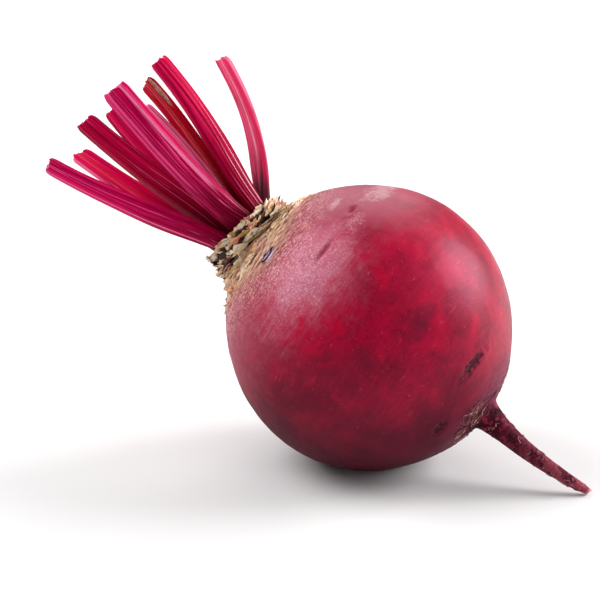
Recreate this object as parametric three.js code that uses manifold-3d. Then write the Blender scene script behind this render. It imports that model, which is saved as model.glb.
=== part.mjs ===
// A beetroot with its leaves cut off: a round red globe that narrows into one thin taproot, a corky crown of
// old leaf scars at the other end, and the stubs of the leaf stalks that stand in the crown.
//
// Millimetres, +Z up. The origin is the middle of the small flat spot that the globe rests on. The taproot
// points to +X and dips to the resting surface. The crown and the stalks point to -X and upwards.

import * as THREE from 'three';
import { mergeVertices } from 'three/addons/utils/BufferGeometryUtils.js';
import Module from 'manifold-3d';

const wasm = await Module();
wasm.setup();

const { clamp, degToRad, lerp, seededRandom, smoothstep } = THREE.MathUtils;

// ---------------------------------------------------------------------------------------------------------
// Driving dimensions. Angles are in degrees. "Level" is a distance along the growth axis from the globe's
// centre, positive towards the crown, and "polar" is an angle from the crown's end of that axis.
// ---------------------------------------------------------------------------------------------------------

const GAP = 0.3; // between touching pieces

const GLOBE_RADIUS = 40;
const GLOBE_CENTRE_HEIGHT = 38.9; // 1.1 less than the radius, which leaves a flat spot 20 across
const GROWTH_AXIS_TILT = 60; // of the axis from taproot to crown, from upright towards -X
const GLOBE_SWELLS = [
  // where the globe is fuller than round: round the crown and round the tail
  { height: 0.6, polar: 34, spread: 12 },
  { height: 0.45, polar: 162, spread: 10 },
];
const LUMP_HEIGHT = 0.35;

const TAIL_START = { polar: 168, level: -38 }; // where the globe's arc ends and where the tail starts to bow
const TAIL_OUTLINE = [
  // [radius, level]
  [6.1, -40.1],
  [4.6, -40.9],
  [3.7, -44],
  [3.05, -48],
  [2.4, -56],
  [1.95, -64],
  [1.5, -72],
  [0.9, -76.2],
];
const TAIL_END_LEVEL = -76.6;
const TAIL_BOW = { middle: [-2.2, -3.0], end: [0.1, -2.1] }; // sideways pull on the tail's centre line
const TAIL_WRINKLES = { height: 0.14, spacing: 4.2, start: -41 };

const CROWN_LEVEL = 36.5; // where skin gives way to cork
const CROWN_TILT = { up: 12, front: 8 }; // of the crown's axis from the growth axis
const CROWN_FOOT_RADIUS = 16.2;
const CROWN_NECK_RADIUS = 12.2;
const CROWN_RIM_HEIGHT = 10.2;
const CROWN_RIM_WALL = 1.4;
const CROWN_RIM_FRONT_RISE = 0.8; // the rim stands higher in front, at -Y
const CROWN_RIM_RAGGEDNESS = 0.8;
const CROWN_DISH_FLOOR = 6.7; // the stalks stand in a shallow dish
const CROWN_SCALES = { tiers: 5, depth: 1.0, wander: 0.3 }; // overlapping rows of dry leaf bases

const STALK_RISE = 7; // how far a stalk climbs straight out of the crown before it leans
const STALK_TWIST_SHARE = 0.6; // how much of its length it takes to turn to its facing
const STALK_RIBS = 5; // ridges along its outer face
const STALK_RIB_HEIGHT = 0.12; // as a share of half the thickness
const STALK_GROOVE = 0.85; // along its inner face, as a share of half the thickness
const STALK_END_RAGGEDNESS = 0.7;

// foot:  distance from the crown's axis and angle around it
// bend and tip: points in the crown's frame, where +Z is the crown's axis, +X points up and -Y to the front
// facing: the angle that the ribbed face turns to above the foot
// width: at the foot, midway and at the tip
// slant: rise of the cut end across the width
const STALKS = {
  stalk_01: {
    foot: [7.6, -110], bend: [-10.8, -14.7, 33], tip: [-13.3, -23.3, 61.2], facing: -104,
    width: [6.5, 8.0, 5.8], thickness: 4.2, slant: -0.2, colour: 'crimson',
  },
  stalk_02: {
    foot: [7.6, -50], bend: [5.8, -11.1, 24], tip: [11.6, -12, 62.1], facing: -58,
    width: [6.4, 7.0, 7.0], thickness: 4.2, slant: 0.05, colour: 'rose',
  },
  stalk_03: {
    foot: [3.9, -105], bend: [-3.6, -7.7, 35], tip: [-5.3, -6.3, 62.4], facing: -90,
    width: [5.4, 8.0, 6.6], thickness: 3.2, slant: 0.2, colour: 'crimson',
  },
  stalk_04: {
    foot: [7.6, -174], bend: [-13.5, -2.3, 36.5], tip: [-20.7, 4.8, 57.6], facing: -195,
    width: [6.4, 7.8, 6.6], thickness: 4.2, slant: -0.05, colour: 'crimson',
  },
  stalk_05: {
    foot: [7.6, -2], bend: [14.8, 3.8, 31.8], tip: [18.2, 5.5, 58.7], facing: -21,
    width: [6.0, 7.0, 6.1], thickness: 4.2, slant: 0, colour: 'crimson',
  },
  stalk_06: {
    foot: [8.6, 38], bend: [18.8, 11.2, 17], tip: [25.7, 17.6, 46.3], facing: 51,
    width: [5.4, 7.6, 5.5], thickness: 4.2, slant: -0.2, colour: 'pink',
  },
  stalk_07: {
    foot: [3.4, 45], bend: [7.2, 8.4, 39.1], tip: [4.6, 16.1, 57.3], facing: 63,
    width: [4.6, 6.2, 6.4], thickness: 3.2, slant: -0.05, colour: 'rose',
  },
  stalk_08: {
    foot: [3.3, -28], bend: [7.8, 0.3, 30.8], tip: [7, 1.8, 52.5], facing: 13,
    width: [3.6, 3.4, 3.1], thickness: 2.6, slant: 0.1, colour: 'crimson',
  },
  stalk_09: {
    foot: [3.3, 140], bend: [-8.3, 3.9, 36.5], tip: [-9.6, 14.9, 59.5], facing: 146,
    width: [4.6, 6.0, 3.8], thickness: 3.0, slant: 0.3, colour: 'crimson',
  },
  stalk_10: {
    foot: [7.6, 89], bend: [1.5, 16, 26], tip: [-3, 24, 43], facing: 89,
    width: [5.8, 5.4, 4.8], thickness: 4.2, slant: 0.3, colour: 'rose',
  },
  stalk_11: {
    foot: [7.6, 134], bend: [-10, 13, 24], tip: [-16, 18.5, 40], facing: 134,
    width: [5.8, 5.2, 4.6], thickness: 4.2, slant: -0.4, colour: 'crimson',
  },
};

// How finely the curved shapes are cut into flats
const GLOBE_SIDES = 44;
const GLOBE_RINGS = 28;
const TAIL_RINGS = 24;
const CROWN_SIDES = 64;
const CROWN_RINGS = 18;
const STALK_STEPS = 14;
const STALK_GROOVE_STEPS = 6;

// ---------------------------------------------------------------------------------------------------------
// Materials
// ---------------------------------------------------------------------------------------------------------

const material = (color, roughness) => new THREE.MeshStandardMaterial({ color, roughness, metalness: 0 });

const SKIN = material('#7d1230', 0.45);
const CORK = material('#b58a6c', 0.9);
const STALK_COLOURS = {
  crimson: material('#a3103f', 0.35),
  rose: material('#c03a64', 0.35),
  pink: material('#e25a80', 0.35),
};

// ---------------------------------------------------------------------------------------------------------
// Helpers
// ---------------------------------------------------------------------------------------------------------

// Moves every vertex of a geometry to where the rule sends it.
function reshape(geometry, rule) {
  const positions = geometry.attributes.position;
  const point = new THREE.Vector3();
  for (let i = 0; i < positions.count; i += 1) {
    rule(point.fromBufferAttribute(positions, i));
    positions.setXYZ(i, point.x, point.y, point.z);
  }
  return geometry;
}

// Shares the vertices that coincide and drops the faces that close up to nothing, as at a lathe's poles.
function weld(geometry) {
  geometry.deleteAttribute('normal');
  geometry.deleteAttribute('uv');
  const welded = mergeVertices(geometry, 1e-4);
  const corners = welded.index.array;
  const kept = [];
  for (let i = 0; i < corners.length; i += 3) {
    const [a, b, c] = corners.slice(i, i + 3);
    if (a !== b && b !== c && c !== a) {
      kept.push(a, b, c);
    }
  }
  welded.setIndex(kept);
  return welded;
}

function toSolid(geometry) {
  const welded = weld(geometry);
  return new wasm.Manifold(new wasm.Mesh({
    numProp: 3,
    vertProperties: welded.attributes.position.array,
    triVerts: Uint32Array.from(welded.index.array),
  }));
}

function toGeometry(solid) {
  const { vertProperties, triVerts } = solid.getMesh();
  const geometry = new THREE.BufferGeometry();
  geometry.setAttribute('position', new THREE.BufferAttribute(vertProperties, 3));
  geometry.setIndex(new THREE.BufferAttribute(triVerts, 1));
  geometry.computeVertexNormals();
  return geometry;
}

// A lathe whose profile of [radius, level] points turns about +Z.
function turned(profile, sides) {
  const points = profile.map(([radius, level]) => new THREE.Vector2(radius, level));
  return new THREE.LatheGeometry(points, sides).rotateX(Math.PI / 2);
}

// A smooth closed wave round a circle, mostly between -1 and 1, with seeded phases.
function seededWave(seed, harmonics) {
  seededRandom(seed);
  const terms = harmonics.map((harmonic) => [harmonic, 2 * Math.PI * seededRandom()]);
  const swing = (angle) => terms.reduce((sum, [harmonic, phase]) => sum + Math.sin(harmonic * angle + phase), 0);
  return (angle) => swing(angle) / Math.sqrt(terms.length);
}

// ---------------------------------------------------------------------------------------------------------
// Taproot: the swollen globe and its thin tail, one solid turned about the growth axis
// ---------------------------------------------------------------------------------------------------------

function taprootProfile() {
  const profile = [[0, TAIL_END_LEVEL]];
  const lastPolar = degToRad(TAIL_START.polar);
  const firstPolar = Math.acos(CROWN_LEVEL / GLOBE_RADIUS);
  const globePoint = (polar) => {
    const radius = GLOBE_SWELLS.reduce((reach, swell) => {
      const away = (polar - degToRad(swell.polar)) / degToRad(swell.spread);
      return reach + swell.height * Math.exp(-away * away);
    }, GLOBE_RADIUS);
    return [radius * Math.sin(polar), radius * Math.cos(polar)];
  };

  const tailPoints = [globePoint(lastPolar), ...TAIL_OUTLINE].map((point) => new THREE.Vector2(...point));
  const tailCurve = new THREE.SplineCurve(tailPoints);
  for (let ring = TAIL_RINGS; ring > 0; ring -= 1) {
    profile.push(tailCurve.getPoint(ring / TAIL_RINGS).toArray());
  }
  for (let ring = 0; ring < GLOBE_RINGS; ring += 1) {
    profile.push(globePoint(lerp(lastPolar, firstPolar, ring / GLOBE_RINGS)));
  }
  const shoulderRadius = globePoint(firstPolar)[0];
  profile.push([shoulderRadius, CROWN_LEVEL], [0, CROWN_LEVEL]);
  return profile;
}

// Soft lumps all over the globe, none on the tail and none on the flat where the crown sits.
function raiseLumps(point) {
  const polar = point.angleTo(new THREE.Vector3(0, 0, 1));
  const around = Math.atan2(point.y, point.x);
  const fromTail = 1 - smoothstep(polar, degToRad(150), degToRad(TAIL_START.polar));
  const fromCrown = smoothstep(polar, Math.acos(CROWN_LEVEL / GLOBE_RADIUS), degToRad(50));
  const lump = Math.sin(3 * around + 0.8) * Math.sin(2 * polar) + Math.sin(2 * around + 2.1 + 3 * polar);
  point.multiplyScalar(1 + (0.5 * LUMP_HEIGHT * fromTail * fromCrown * lump) / GLOBE_RADIUS);
}

function wrinkleTail(point) {
  if (point.z > TAIL_WRINKLES.start || point.z < TAIL_END_LEVEL + GAP) {
    return;
  }
  const radius = Math.hypot(point.x, point.y);
  const wrinkle = TAIL_WRINKLES.height * Math.sin((2 * Math.PI * point.z) / TAIL_WRINKLES.spacing);
  const scale = (radius + wrinkle) / radius;
  point.x *= scale;
  point.y *= scale;
}

function bowTail(point) {
  const share = clamp((TAIL_START.level - point.z) / (TAIL_START.level - TAIL_END_LEVEL), 0, 1);
  const middlePull = 2 * share * (1 - share);
  const endPull = share * share;
  point.x += middlePull * TAIL_BOW.middle[0] + endPull * TAIL_BOW.end[0];
  point.y += middlePull * TAIL_BOW.middle[1] + endPull * TAIL_BOW.end[1];
}

// The surface's own side of the resting plane is cut away, so the geometry is laid down before the cut.
function taproot(layDown) {
  const root = reshape(turned(taprootProfile(), GLOBE_SIDES), (point) => {
    raiseLumps(point);
    wrinkleTail(point);
    bowTail(point);
  });
  root.applyMatrix4(layDown);
  const depth = GLOBE_RADIUS;
  const below = new THREE.BoxGeometry(5 * GLOBE_RADIUS, 5 * GLOBE_RADIUS, depth).translate(0, 0, -depth / 2);
  return new THREE.Mesh(toGeometry(toSolid(root).subtract(toSolid(below))), SKIN);
}

// ---------------------------------------------------------------------------------------------------------
// Crown: a low corky cone with a dish on top, in the crown's frame, its foot turned back onto the globe
// ---------------------------------------------------------------------------------------------------------

function crownProfile() {
  const profile = [[0, GAP]];
  for (let ring = 0; ring <= CROWN_RINGS; ring += 1) {
    const climb = ring / CROWN_RINGS;
    const flare = (CROWN_FOOT_RADIUS - CROWN_NECK_RADIUS) * (1 - climb) ** 1.8;
    profile.push([CROWN_NECK_RADIUS + flare, lerp(GAP, CROWN_RIM_HEIGHT, climb)]);
  }
  const dishRadius = CROWN_NECK_RADIUS - CROWN_RIM_WALL;
  profile.push([dishRadius, CROWN_RIM_HEIGHT], [dishRadius, CROWN_DISH_FLOOR], [0, CROWN_DISH_FLOOR]);
  return profile;
}

// Each tier of scales thickens upwards to a free edge that wanders round the crown.
function raiseScales(point, wander) {
  const radius = Math.hypot(point.x, point.y);
  if (radius < CROWN_NECK_RADIUS - 0.5 * CROWN_RIM_WALL || point.z < 2 * GAP) {
    return;
  }
  const around = Math.atan2(point.y, point.x);
  const climb = point.z / CROWN_RIM_HEIGHT;
  const tier = CROWN_SCALES.tiers * climb + CROWN_SCALES.wander * wander(around + 1.3 * Math.round(3 * climb));
  const towardsEdge = tier - Math.floor(tier);
  const scale = (radius + CROWN_SCALES.depth * (towardsEdge - 0.5)) / radius;
  point.x *= scale;
  point.y *= scale;
}

function raiseRim(point, raggedness) {
  const share = clamp((point.z - CROWN_DISH_FLOOR) / (CROWN_RIM_HEIGHT - CROWN_DISH_FLOOR), 0, 1);
  const around = Math.atan2(point.y, point.x);
  const rise = -CROWN_RIM_FRONT_RISE * Math.sin(around) + CROWN_RIM_RAGGEDNESS * raggedness(around);
  point.z += share * rise;
}

function crown(tilt) {
  const wander = seededWave(11, [2, 5, 9]);
  const raggedness = seededWave(23, [3, 8, 14]);
  const untilt = tilt.clone().invert();
  const level = new THREE.Quaternion();
  const geometry = reshape(turned(crownProfile(), CROWN_SIDES), (point) => {
    const climb = smoothstep(point.z, GAP, CROWN_DISH_FLOOR);
    raiseScales(point, wander);
    raiseRim(point, raggedness);
    point.applyQuaternion(untilt.clone().slerp(level, climb));
  });
  const room = Object.values(STALKS).map((shape, index) => toSolid(stalkGeometry(shape, index, GAP)));
  const carved = room.reduce((left, cutter) => left.subtract(cutter), toSolid(geometry));
  return new THREE.Mesh(toGeometry(carved), CORK);
}

// ---------------------------------------------------------------------------------------------------------
// Stalks: each one a ribbed and grooved section drawn along a bent line, with a slanting torn end
// ---------------------------------------------------------------------------------------------------------

// The section is one unit to each side. +y is the outer, ribbed side, and the groove runs along -y.
function stalkSection() {
  const outline = [];
  const ribSteps = 2 * STALK_RIBS;
  for (let step = 0; step <= ribSteps; step += 1) {
    const angle = (Math.PI * step) / ribSteps;
    const reach = 1 + (step % 2 === 1 ? STALK_RIB_HEIGHT : 0);
    outline.push(new THREE.Vector2(reach * Math.cos(angle), reach * Math.sin(angle)));
  }
  for (let step = 1; step < STALK_GROOVE_STEPS; step += 1) {
    const angle = (Math.PI * step) / STALK_GROOVE_STEPS;
    const depth = Math.sin(angle) * (1 - STALK_GROOVE * Math.sin(angle) ** 2);
    outline.push(new THREE.Vector2(-Math.cos(angle), -depth));
  }
  return new THREE.Shape(outline);
}

// Width along a stalk from its foot to its middle and on to its tip.
function widthAt(share, [foot, middle, tip]) {
  return share < 0.5
    ? lerp(foot, middle, smoothstep(share, 0, 0.5))
    : lerp(middle, tip, smoothstep(share, 0.5, 1));
}

// The margin grows the section on all sides, for the room that a stalk takes in the crown.
function stalkGeometry({ foot, bend, tip, facing, width, thickness, slant }, seed, margin = 0) {
  const [distance, around] = foot;
  const outwardAt = (share) => {
    const angle = degToRad(lerp(around, facing, smoothstep(share, 0, STALK_TWIST_SHARE)));
    return new THREE.Vector3(Math.cos(angle), Math.sin(angle), 0);
  };
  const footHeight = CROWN_DISH_FLOOR + GAP;
  const footPoint = outwardAt(0).multiplyScalar(distance).setZ(footHeight);
  const risen = footPoint.clone().setZ(footHeight + STALK_RISE);
  const spine = new THREE.CubicBezierCurve3(
    footPoint,
    risen,
    new THREE.Vector3(...bend),
    new THREE.Vector3(...tip),
  );
  const endSpeed = 3 * spine.v2.distanceTo(spine.v3);
  const torn = seededWave(seed, [2, 3, 5]);

  const options = { depth: 1, steps: STALK_STEPS, bevelEnabled: false };
  return reshape(new THREE.ExtrudeGeometry(stalkSection(), options), (point) => {
    const halfWidth = widthAt(point.z, width) / 2 + margin;
    const halfThickness = lerp(thickness, thickness * (width[2] / width[0]), point.z) / 2 + margin;
    const across = point.x * halfWidth;
    const outwards = point.y * halfThickness;
    const tear = slant * across + STALK_END_RAGGEDNESS * torn(Math.atan2(point.y, point.x));
    const share = point.z * (1 + tear / endSpeed);
    const tangent = spine.getTangent(Math.min(share, 1));
    const side = outwardAt(point.z).cross(tangent).normalize();
    const outer = tangent.clone().cross(side);
    point.copy(spine.getPoint(share)).addScaledVector(side, across).addScaledVector(outer, outwards);
  });
}

// ---------------------------------------------------------------------------------------------------------
// Assembly
// ---------------------------------------------------------------------------------------------------------

const beetroot = new THREE.Group();

const growthFrame = new THREE.Group();
growthFrame.position.set(0, 0, GLOBE_CENTRE_HEIGHT);
growthFrame.rotation.y = -degToRad(GROWTH_AXIS_TILT);
growthFrame.updateMatrix();
beetroot.add(growthFrame);

const crownFrame = new THREE.Group();
crownFrame.position.set(0, 0, CROWN_LEVEL);
crownFrame.rotation.set(degToRad(CROWN_TILT.front), degToRad(CROWN_TILT.up), 0, 'YXZ');
growthFrame.add(crownFrame);

const root = taproot(growthFrame.matrix);
root.name = 'taproot';
beetroot.add(root);

const crownMesh = crown(crownFrame.quaternion);
crownMesh.name = 'crown';
crownFrame.add(crownMesh);

Object.entries(STALKS).forEach(([name, shape], index) => {
  const stalk = new THREE.Mesh(weld(stalkGeometry(shape, index)), STALK_COLOURS[shape.colour]);
  stalk.name = name;
  crownFrame.add(stalk);
});

export default beetroot;
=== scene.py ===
"""A whole beetroot with its leaves cut off: the globe with its thin taproot, the corky crown with its dry
scales, the stubs of the leaf stalks and the hairs round the root's base.

Pieces are modelled in millimetres, in the frame of the growth axis, and laid down in metres at the end.
"""

import random
from math import acos, atan2, cos, degrees, exp, hypot, pi, radians, sin

import bmesh
import bpy
from mathutils import Matrix, Quaternion, Vector
from mathutils.noise import noise


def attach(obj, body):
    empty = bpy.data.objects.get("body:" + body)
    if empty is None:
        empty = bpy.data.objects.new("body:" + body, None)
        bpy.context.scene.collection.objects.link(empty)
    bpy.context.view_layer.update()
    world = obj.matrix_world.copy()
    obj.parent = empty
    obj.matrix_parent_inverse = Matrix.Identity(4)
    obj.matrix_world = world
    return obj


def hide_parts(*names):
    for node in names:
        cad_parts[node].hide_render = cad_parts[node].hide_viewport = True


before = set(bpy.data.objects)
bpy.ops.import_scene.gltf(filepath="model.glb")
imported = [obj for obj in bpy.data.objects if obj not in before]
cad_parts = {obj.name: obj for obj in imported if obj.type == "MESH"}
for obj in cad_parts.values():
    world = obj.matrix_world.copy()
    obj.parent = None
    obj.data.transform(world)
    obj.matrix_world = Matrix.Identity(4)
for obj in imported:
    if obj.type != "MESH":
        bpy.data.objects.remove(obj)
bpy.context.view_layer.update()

# ------------------------------------------------------------
# Camera: a long lens that looks a little down on the beetroot, from the front and slightly from its left,
# so that the crown, the stalks and the whole taproot show.

MM = 0.001
CAMERA_AZIMUTH = radians(23)
CAMERA_ELEVATION = radians(19.5)
CAMERA_DISTANCE = 0.75
SENSOR_WIDTH = 36  # mm
PICTURE_WIDTH = 600  # pixels
PIXELS_PER_METRE = 3565  # at the globe's middle
GLOBE_MIDDLE_PIXEL = (370, 327.5)
GLOBE_CENTRE = Vector((0, 0, 38.9)) * MM

to_right = Vector((cos(CAMERA_AZIMUTH), sin(CAMERA_AZIMUTH), 0))
to_camera = Vector((
    sin(CAMERA_AZIMUTH) * cos(CAMERA_ELEVATION),
    -cos(CAMERA_AZIMUTH) * cos(CAMERA_ELEVATION),
    sin(CAMERA_ELEVATION),
))
to_top = to_camera.cross(to_right)


def placed(name, data):
    """An object in the scene that shows a mesh, a lens or a lamp."""
    made = bpy.data.objects.new(name, data)
    bpy.context.scene.collection.objects.link(made)
    return made


lens = bpy.data.cameras.new("camera")
lens.sensor_width = SENSOR_WIDTH
lens.lens = PIXELS_PER_METRE * CAMERA_DISTANCE / PICTURE_WIDTH * SENSOR_WIDTH
lens.clip_end = 20
camera = placed("camera", lens)
bpy.context.scene.camera = camera

right_of_middle = (GLOBE_MIDDLE_PIXEL[0] - PICTURE_WIDTH / 2) / PIXELS_PER_METRE
below_middle = (GLOBE_MIDDLE_PIXEL[1] - PICTURE_WIDTH / 2) / PIXELS_PER_METRE
camera.matrix_world = Matrix.Translation(
    GLOBE_CENTRE - right_of_middle * to_right + below_middle * to_top + CAMERA_DISTANCE * to_camera
) @ Matrix((to_right, to_top, to_camera)).transposed().to_4x4()

# ------------------------------------------------------------
# Taproot: the globe and the tail that it narrows into are one swollen root. Its skin is thin and satin,
# dusty round the shoulder, wrinkled in rings towards the tail, and marked by a few healed scars.

GLOBE_RADIUS = 40
GROWTH_AXIS_TILT = 60  # degrees, from upright towards -X
GLOBE_SWELLS = [(0.6, 34, 12), (0.45, 162, 10)]  # height, polar angle, spread
LUMP_HEIGHT = 0.35
CROWN_LEVEL = 36.5  # where skin gives way to cork
TAIL_START_POLAR = 168
TAIL_START_LEVEL = -38
TAIL_OUTLINE = [  # radius and level
    (6.1, -40.1), (4.6, -40.9), (3.7, -44), (3.05, -48), (2.4, -56), (1.95, -64), (1.5, -72), (0.9, -76.2),
]
TAIL_END_LEVEL = -76.6
TAIL_BOW_MIDDLE = Vector((-2.2, -3.0))
TAIL_BOW_END = Vector((0.1, -2.1))
FLOOR_ROUNDING = 0.5  # of the edge of the flat spot underneath

SHARP_ANGLE = radians(55)
ROOT_SIDES = 300
GLOBE_RINGS = 180
TAIL_RINGS = 130

SKIN_WAVES = [(0.16, 9), (0.05, 2.8)]  # height and width of the globe's unevenness
SHOULDER_GRAIN = (0.045, 0.9)
RING_WRINKLES = (0.10, 1.35)  # height and spacing, towards the tail
TAIL_CREASES = (0.08, 2.3)
TAIL_FURROW_HEIGHT = 0.18
TAIL_SKIN = (39.6, 41.5)  # how far below the globe's middle the tail's own skin begins, and is full
SCAR_LIP = (0.3, 1.25, 0.3)  # height as a share of the scar's depth, where it stands, spread

# Healed marks: polar angle, angle around, half length, half width, depth. They lie round the axis.
SCARS = [
    (141.3, -42.5, 6.4, 1.9, 0.40),
    (148.2, -92.5, 3.2, 2.1, 0.40),
    (167, 68, 1.8, 1.0, 0.60),
    (128, 118, 4.2, 1.2, 0.25),
    (150, 160, 3.0, 1.1, 0.25),
    (104, -158, 3.4, 0.9, 0.20),
]
DENTS = [(63, -46.5, 6.2, 1.0, 0.45), (60.3, -20.3, 2.4, 1.1, 0.50), (58, 95, 5.0, 0.7, 0.30)]
ROUGH_PATCH = (65, -26, 3.8, 2.2, 0.45)
LEAF_SCAR = (39.5, -63, 3.0, 1.9, 0.5)

# Marks that are only a tone, placed in the same way
BRUISES = [(110, -44, 7.5, 3.5), (114, -53, 5, 3), (101, -72, 6, 3.5), (120, 40, 8, 5), (95, 150, 9, 5)]
BLOOM_AND_SHEEN = (62, -59, 15, 10)  # the dusty patch on the shoulder, partly a painted sheen
HAZE_AND_SHEEN = (66, -57, 21, 16)  # the fainter dust round it, partly the painted sheen fading out
CHALK = [(51, -16.6, 3.2, 1.5), (63, 5, 9, 4), (57, 64, 5, 2.5), (60, 152, 9, 4), (52, -140, 6, 2.5)]
CRUST_AND_FISSURE_SHADE = (164, -95, 9, 8)  # where the tail's base is crusty, with painted shade in its fissures
CORK_REACH = (33, 11, -60, 30)  # polar angle that cork strokes reach, how much more in front, where, spread


def smooth_step(value, low, high):
    share = min(max((value - low) / (high - low), 0), 1)
    return share * share * (3 - 2 * share)


def hump(value, at, spread):
    """1 where the value is at its place, and less on both sides."""
    return exp(-(((value - at) / spread) ** 2))


def blend(low, high, share):
    return low + (high - low) * share


def at_angle(around, radius=1, level=0):
    """A place at an angle about the vertical, in radians."""
    return Vector((radius * cos(around), radius * sin(around), level))


def globe_point(polar):
    """Radius and level of the turned globe at a polar angle in degrees."""
    reach = GLOBE_RADIUS + sum(height * hump(polar, at, spread) for height, at, spread in GLOBE_SWELLS)
    return reach * sin(radians(polar)), reach * cos(radians(polar))


def smooth_line(points, share):
    """The point at a share of the smooth line that runs through the points."""
    place = min(share, 0.999999) * (len(points) - 1)
    start = int(place)
    t = place - start
    before, first, second, after = (
        Vector(points[min(max(start + step, 0), len(points) - 1)]) for step in (-1, 0, 1, 2)
    )
    leave, arrive = (second - before) / 2, (after - first) / 2
    bend = 3 * (second - first) - 2 * leave - arrive
    return first + leave * t + bend * t ** 2 + (2 * (first - second) + leave + arrive) * t ** 3


def spun(profile, sides):
    """A closed shape turned from (radius, level) points about the vertical."""
    shape = bmesh.new()
    rim = [shape.verts.new((radius, 0, level)) for radius, level in profile]
    edges = [shape.edges.new(pair) for pair in zip(rim, rim[1:])]
    bmesh.ops.spin(
        shape, geom=rim + edges, cent=(0, 0, 0), axis=(0, 0, 1), dvec=(0, 0, 0),
        angle=2 * pi, steps=sides, use_merge=True, use_duplicate=False,
    )
    bmesh.ops.remove_doubles(shape, verts=shape.verts, dist=1e-4)
    return shape


def away(polar, around, mark):
    """How far a place on the skin is from a mark's middle, where 1 is its edge. Takes numbers or sockets."""
    mark_polar, mark_around, half_length, half_width = mark[:4]
    arc = radians(GLOBE_RADIUS)
    along = (around - mark_around) * (arc * sin(radians(mark_polar)) / half_length)
    across = (polar - mark_polar) * (arc / half_width)
    return (along * along + across * across) ** 0.5


def skin_relief(place, polar, around):
    """Height of the skin's own unevenness at a place of the turned shape."""
    on_tail = smooth_step(-place.z, *TAIL_SKIN)
    relief = sum(height * noise(place / width) for height, width in SKIN_WAVES) * (1 - on_tail)
    height, width = SHOULDER_GRAIN
    relief += height * noise(place / width) * (1 - smooth_step(polar, 45, 72))
    lip, lip_at, lip_spread = SCAR_LIP
    for mark in SCARS + DENTS + [LEAF_SCAR]:
        nearness = away(polar, around, mark)
        if nearness < 2:
            nearness += 0.5 * noise(place / 0.8)
            relief -= mark[4] * (1 - smooth_step(nearness, 0.3, 1.0))
            relief += lip * mark[4] * hump(nearness, lip_at, lip_spread)
    rough = 1 - smooth_step(away(polar, around, ROUGH_PATCH), 0.4, 1.2)
    relief += ROUGH_PATCH[4] * noise(place / 1.3) * rough
    height, spacing = RING_WRINKLES
    wrinkled = smooth_step(polar, 146, 164) * (1 - on_tail)
    if wrinkled > 0:
        ring = radians(polar) * GLOBE_RADIUS + 1.6 * noise(place / 5)
        relief += height * wrinkled * sin(2 * pi * ring / spacing) * (0.6 + noise(place / 3))
    if on_tail > 0:
        height, spacing = TAIL_CREASES
        radius = hypot(place.x, place.y)
        turned = at_angle(radians(around))
        crease = sin(2 * pi * (place.z + 1.4 * noise(turned + place / 4)) / spacing)
        sharp = max(0, crease) ** 3 * (0.4 + noise(turned * 1.6 + place / 2.2))
        furrow = noise(turned * 1.9 + Vector((0, 0, place.z / 16)))
        relief += on_tail * min(1, radius / 2.5) * (TAIL_FURROW_HEIGHT * furrow - height * sharp)
    return relief


def bowed(place):
    """Where a place of the straight root ends up once the tail is bowed."""
    share = min(max((TAIL_START_LEVEL - place.z) / (TAIL_START_LEVEL - TAIL_END_LEVEL), 0), 1)
    pull = 2 * share * (1 - share) * TAIL_BOW_MIDDLE + share ** 2 * TAIL_BOW_END
    return place + Vector((*pull, 0))


def grown(place, lift=0):
    """Where a place of the turned shape ends up: lumps, relief and the tail's bow."""
    polar = degrees(place.angle(Vector((0, 0, 1)), 0))
    around = degrees(atan2(place.y, place.x))
    turn = radians(around)
    lump = sin(3 * turn + 0.8) * sin(2 * radians(polar)) + sin(2 * turn + 2.1 + 3 * radians(polar))
    lump *= (1 - smooth_step(polar, 150, TAIL_START_POLAR)) * smooth_step(polar, 24, 50)
    height = 0.5 * LUMP_HEIGHT * lump + skin_relief(place, polar, around) * smooth_step(polar, 20, 26) + lift
    on_globe = place.z > -GLOBE_RADIUS
    outward = place.normalized() if on_globe else Vector((place.x, place.y, 0)).normalized()
    return bowed(place + height * outward)


growth_frame = Matrix.Translation(GLOBE_CENTRE / MM) @ Matrix.Rotation(radians(-GROWTH_AXIS_TILT), 4, "Y")
lay_down = Matrix.Scale(MM, 4) @ growth_frame


def rest_on_floor(vert):
    """Flattens what would sink below the floor, with a rounded edge. Works in metres."""
    rounding = FLOOR_ROUNDING * MM
    near = max(rounding - abs(vert.co.z), 0)
    vert.co.z = max(vert.co.z, 0) + near ** 2 / (4 * rounding)


def piece(shape, name, finish, frame_matrix):
    """Turns a bmesh into a piece that rides with the beetroot, smooth but for its sharp edges."""
    bmesh.ops.recalc_face_normals(shape, faces=shape.faces)
    bmesh.ops.transform(shape, matrix=frame_matrix, verts=shape.verts)
    mesh = bpy.data.meshes.new(name)
    for face in shape.faces:
        face.smooth = True
    for edge in shape.edges:
        edge.smooth = edge.calc_face_angle(0) < SHARP_ANGLE
    shape.to_mesh(mesh)
    shape.free()
    mesh.materials.append(finish)
    made = placed(name, mesh)
    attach(made, "root")
    return made


tail_points = [globe_point(TAIL_START_POLAR), *TAIL_OUTLINE]
first_polar = degrees(acos(CROWN_LEVEL / GLOBE_RADIUS))
profile = [(0, TAIL_END_LEVEL)]
profile += [smooth_line(tail_points, 1 - ring / TAIL_RINGS) for ring in range(TAIL_RINGS)]
for ring in range(GLOBE_RINGS + 1):
    profile.append(globe_point(blend(TAIL_START_POLAR, first_polar, ring / GLOBE_RINGS)))
profile.append((0, profile[-1][1]))

root_shape = spun(profile, ROOT_SIDES)
root_growth = root_shape.verts.layers.float_vector.new("growth")
for vert in root_shape.verts:
    vert[root_growth] = vert.co
    if hypot(vert.co.x, vert.co.y) > 0.01:
        vert.co = grown(vert.co)
bmesh.ops.transform(root_shape, matrix=lay_down, verts=root_shape.verts)
for vert in root_shape.verts:
    if vert.co.z < FLOOR_ROUNDING * MM:
        rest_on_floor(vert)


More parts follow.
